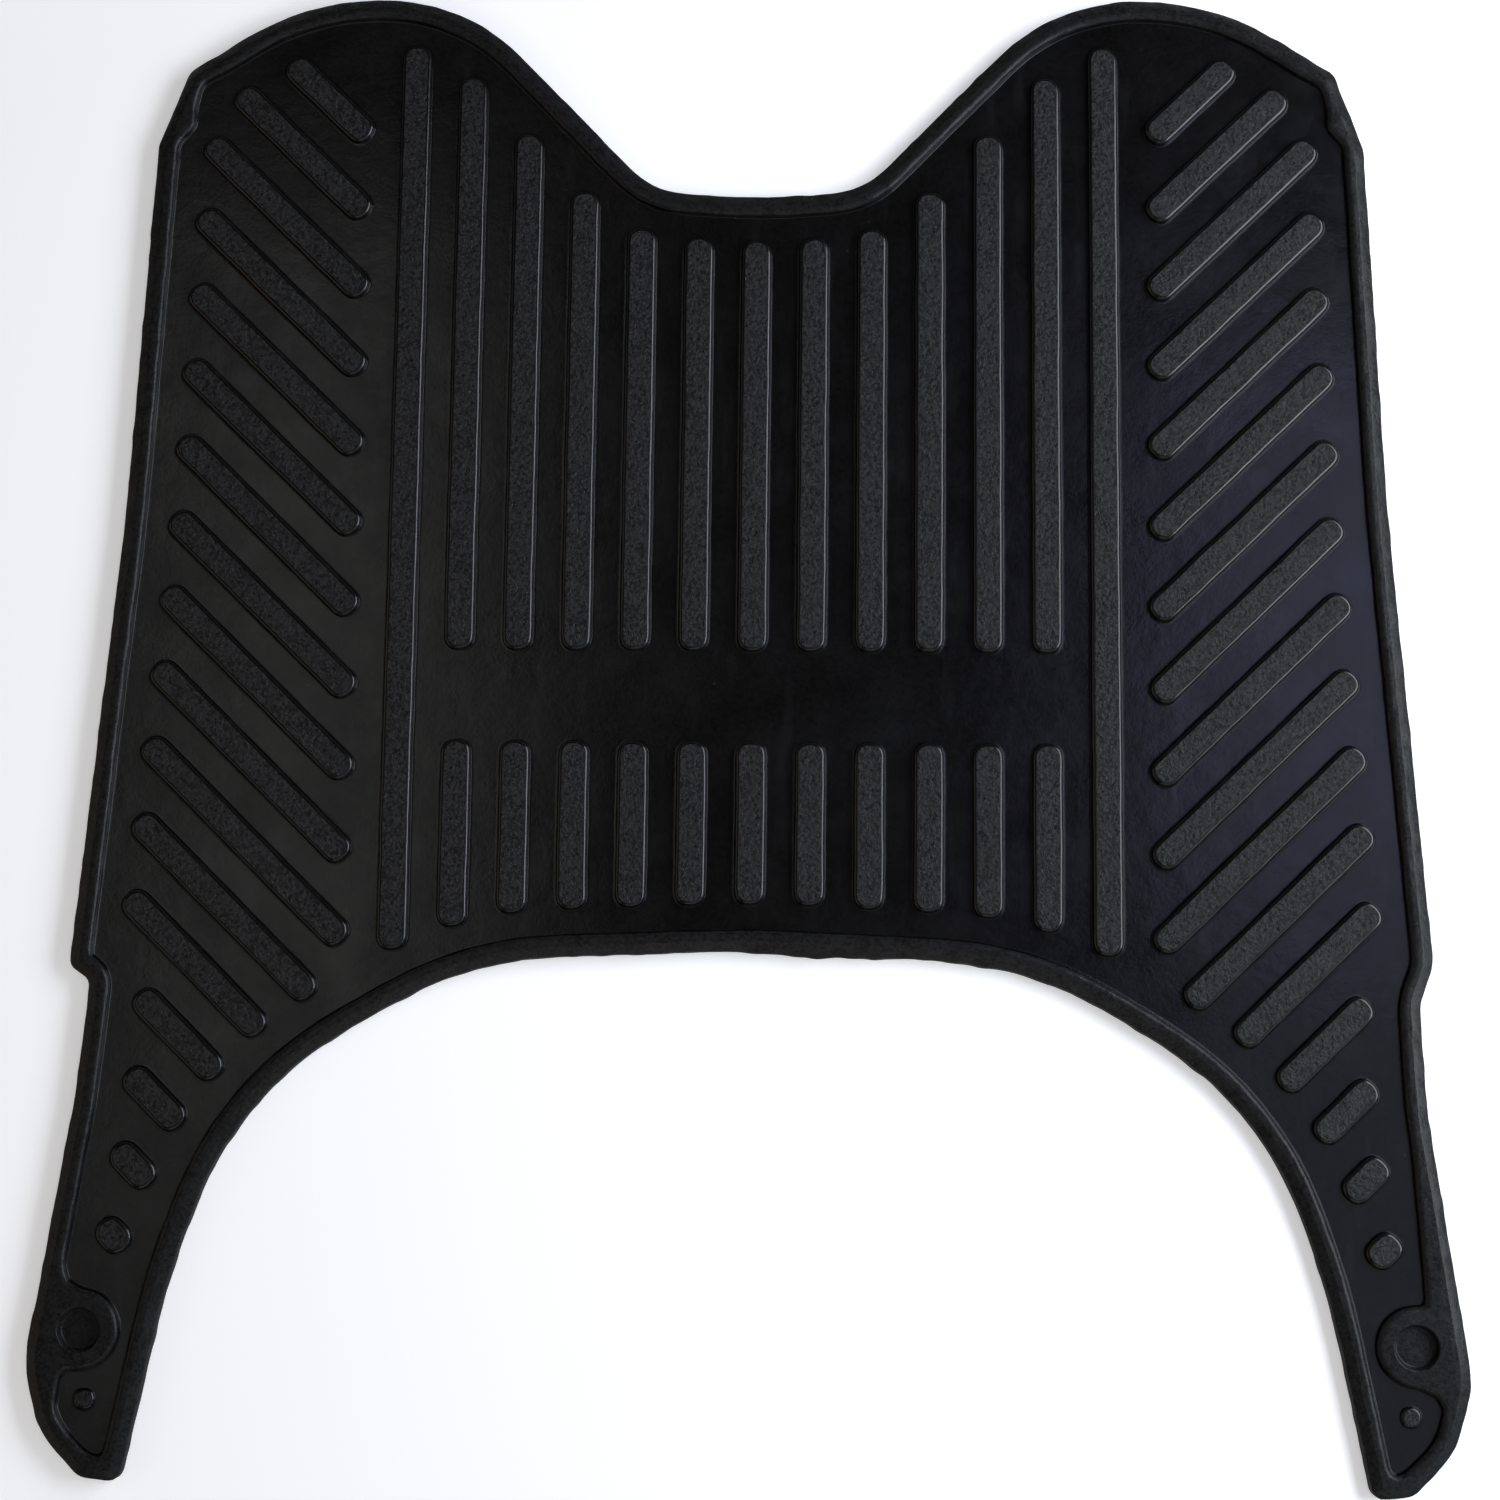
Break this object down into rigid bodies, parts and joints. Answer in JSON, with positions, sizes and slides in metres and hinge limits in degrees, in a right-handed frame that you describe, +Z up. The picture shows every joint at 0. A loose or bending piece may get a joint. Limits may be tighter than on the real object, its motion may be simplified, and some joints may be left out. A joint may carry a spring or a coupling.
{
  "type": "scooter floor mat",
  "caption": "Moulded black rubber floor mat for a scooter footboard, with a front notch, a rear arch, long tails, a raised rim, lengthwise ribs and slanted pads on its wings.",
  "frame": {"origin": "on the flat underside, below the middle of the mat's box", "axes": "+Y to the front of the scooter, where the notch is, +X to its right, +Z up out of the ribbed face"},
  "size_m": [0.357, 0.3844, 0.005],
  "materials": {
    "rubber": "black moulded rubber, semi-gloss panel with fine-grained matte ribs and pads"
  },
  "bodies": {
    "root": {"floor_mat": "rubber"}
  },
  "joints": []
}
